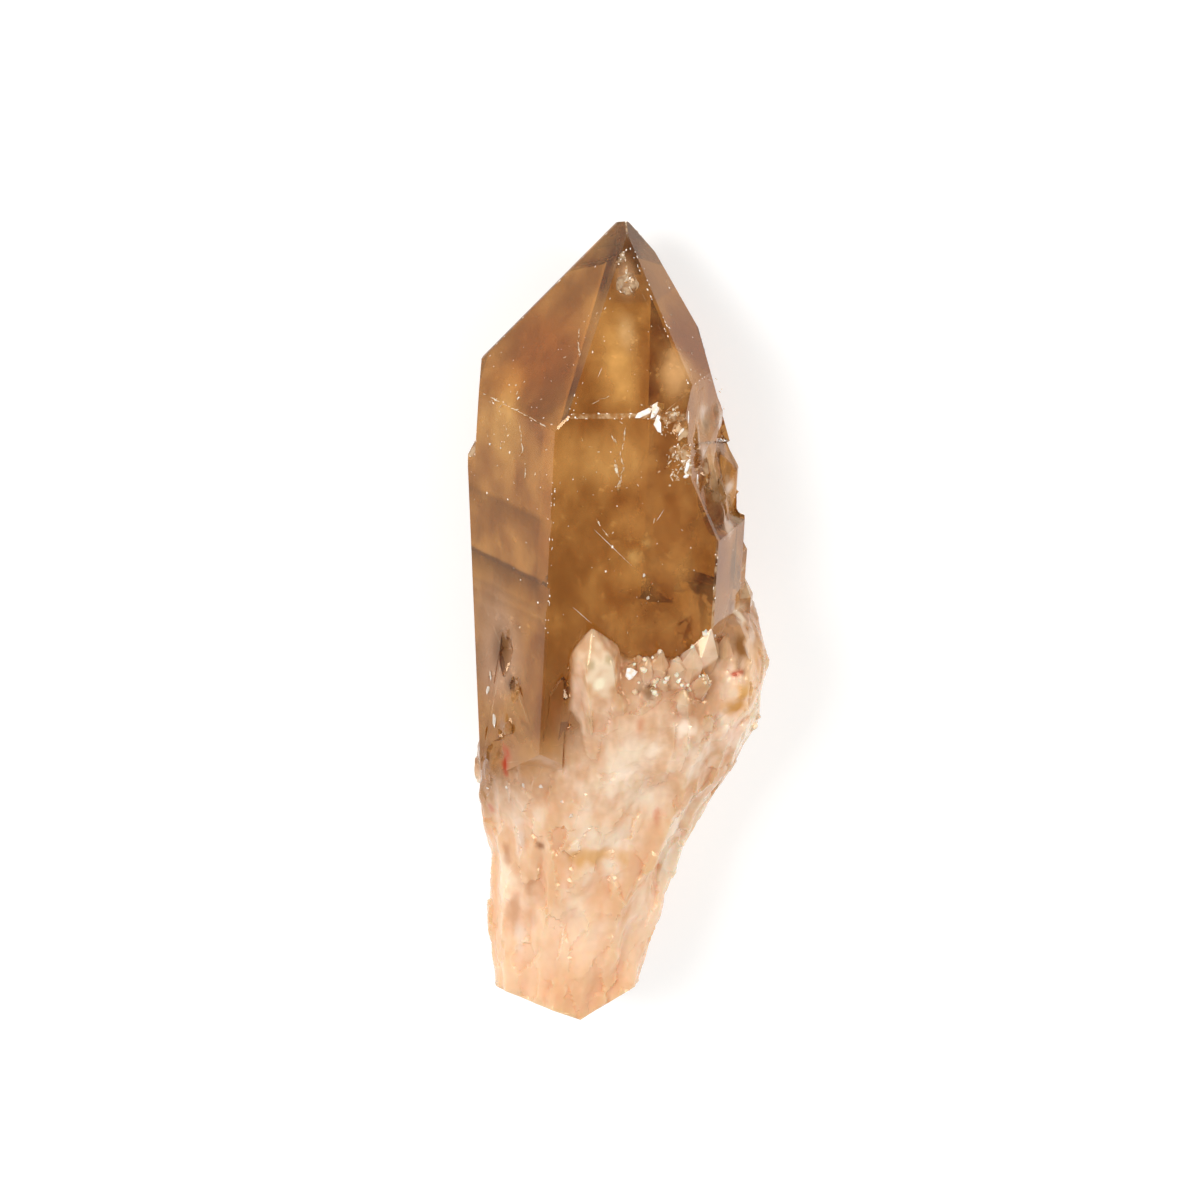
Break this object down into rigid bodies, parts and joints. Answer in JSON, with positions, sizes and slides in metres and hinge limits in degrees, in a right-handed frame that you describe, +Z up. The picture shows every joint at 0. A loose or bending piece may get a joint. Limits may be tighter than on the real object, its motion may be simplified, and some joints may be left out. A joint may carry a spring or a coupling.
{
  "type": "citrine crystal point",
  "caption": "Natural citrine point: a clear amber six-sided prism with a faceted tip, grown from a milky root crusted with small crystals. Lies on its back face as a specimen.",
  "frame": {"origin": "middle of the underside, on the surface that the crystal lies on", "axes": "+Y along the crystal to its tip, +Z up from the surface, +X to its right"},
  "size_m": [0.0252, 0.0694, 0.0202],
  "materials": {
    "citrine": "clear amber with bright natural faces, milky and rough towards the root"
  },
  "bodies": {
    "root": {"citrine_point": "citrine"}
  },
  "joints": []
}
